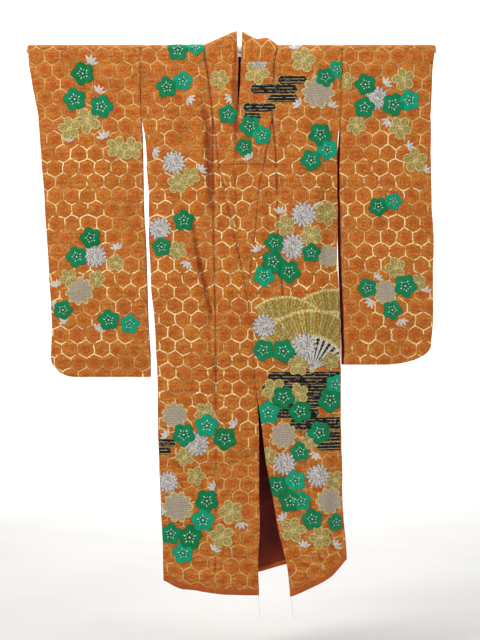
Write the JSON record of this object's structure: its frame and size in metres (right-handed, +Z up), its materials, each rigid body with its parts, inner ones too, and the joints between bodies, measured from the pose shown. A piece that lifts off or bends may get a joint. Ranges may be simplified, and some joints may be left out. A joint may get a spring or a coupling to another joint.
{
  "type": "kimono on a rod",
  "caption": "Long-sleeved formal silk kimono hung flat on a straight rod through both sleeves, left front over right.",
  "frame": {"origin": "centre of the rod on its axis, below the neck, where whatever holds the rod carries the garment", "axes": "+X along the rod to the viewer's right (the wearer's left), +Y to the garment's back, +Z up"},
  "size_m": [1.2706, 0.0879, 1.8197],
  "materials": {
    "orange_silk": "crepe silk with gold thread lattice and embroidered flowers",
    "red_silk": "plain lining silk",
    "hem_silk": "plain silk over padding",
    "white_thread": "twisted cotton thread",
    "rod_paint": "satin white paint on wood"
  },
  "bodies": {
    "root": {"rod": "rod_paint", "body_right": "orange_silk", "body_left": "orange_silk", "sleeve_right": "orange_silk", "sleeve_left": "orange_silk", "overlap_right": "orange_silk", "overlap_left": "orange_silk", "collar": "orange_silk", "over_collar": "orange_silk", "lining_back_right": "red_silk", "lining_back_left": "red_silk", "hem_front_right": "hem_silk", "hem_front_left": "hem_silk", "hem_overlap_right": "hem_silk", "hem_overlap_left": "hem_silk", "hem_back_right": "hem_silk", "hem_back_left": "hem_silk", "thread_right": "white_thread", "thread_left": "white_thread"}
  },
  "joints": []
}
